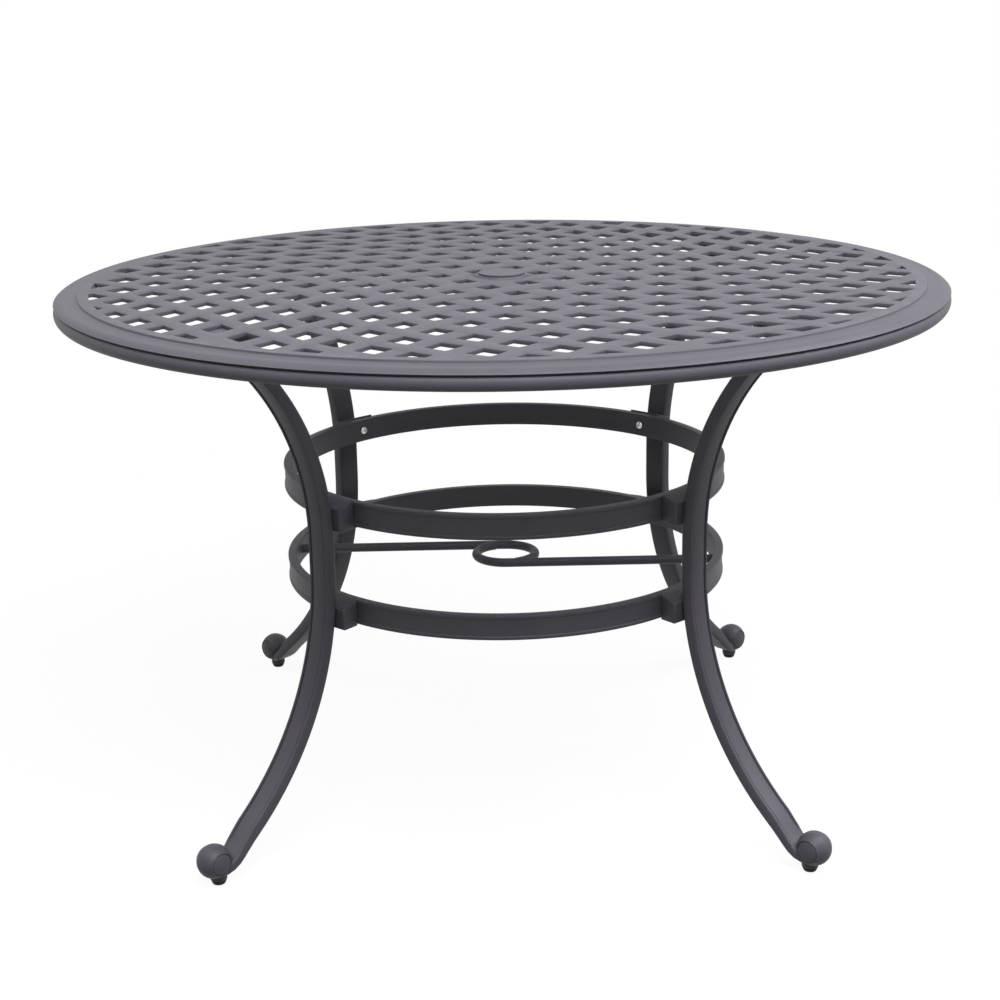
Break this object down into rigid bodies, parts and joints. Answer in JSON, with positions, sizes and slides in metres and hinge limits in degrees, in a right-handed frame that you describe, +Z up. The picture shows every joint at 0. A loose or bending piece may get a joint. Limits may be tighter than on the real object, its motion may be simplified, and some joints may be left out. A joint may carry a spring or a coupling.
{
  "type": "umbrella table",
  "caption": "Round cast patio table with a woven lattice top, covered umbrella hole, bowed legs with scroll feet, stretcher rings and a pole guide.",
  "frame": {"origin": "on the floor, under the middle of the table top", "axes": "+Z up, +X to the right and +Y to the back as seen in the picture"},
  "size_m": [1.2192, 1.2192, 0.731],
  "materials": {
    "casting": "satin",
    "rod": "satin",
    "bolt": "satin",
    "stud": "satin",
    "glide": "matte"
  },
  "bodies": {
    "table": {"table_top": "casting", "rear_right_leg": "casting", "rear_left_leg": "casting", "front_left_leg": "casting", "front_right_leg": "casting", "upper_ring": "casting", "lower_ring": "casting", "guide_rod_left": "rod", "guide_rod_right": "rod", "upper_ring_bolts": "bolt", "lower_ring_bolts": "bolt", "leg_bolts": "bolt"},
    "hole_cover": {"umbrella_hole_cover": "casting"},
    "rear_right_glide": {"rear_right_glide_pad": "glide", "rear_right_glide_stud": "stud"},
    "rear_left_glide": {"rear_left_glide_pad": "glide", "rear_left_glide_stud": "stud"},
    "front_left_glide": {"front_left_glide_pad": "glide", "front_left_glide_stud": "stud"},
    "front_right_glide": {"front_right_glide_pad": "glide", "front_right_glide_stud": "stud"}
  },
  "joints": [
    {"name": "cover_lift", "type": "slide", "parent": "table", "child": "hole_cover", "axis": [0, 0, 1], "range_m": [0, 0.06]},
    {"name": "rear_right_glide_screw", "type": "slide", "parent": "table", "child": "rear_right_glide", "axis": [0, 0, -1], "range_m": [0, 0.008]},
    {"name": "rear_left_glide_screw", "type": "slide", "parent": "table", "child": "rear_left_glide", "axis": [0, 0, -1], "range_m": [0, 0.008]},
    {"name": "front_left_glide_screw", "type": "slide", "parent": "table", "child": "front_left_glide", "axis": [0, 0, -1], "range_m": [0, 0.008]},
    {"name": "front_right_glide_screw", "type": "slide", "parent": "table", "child": "front_right_glide", "axis": [0, 0, -1], "range_m": [0, 0.008]}
  ]
}
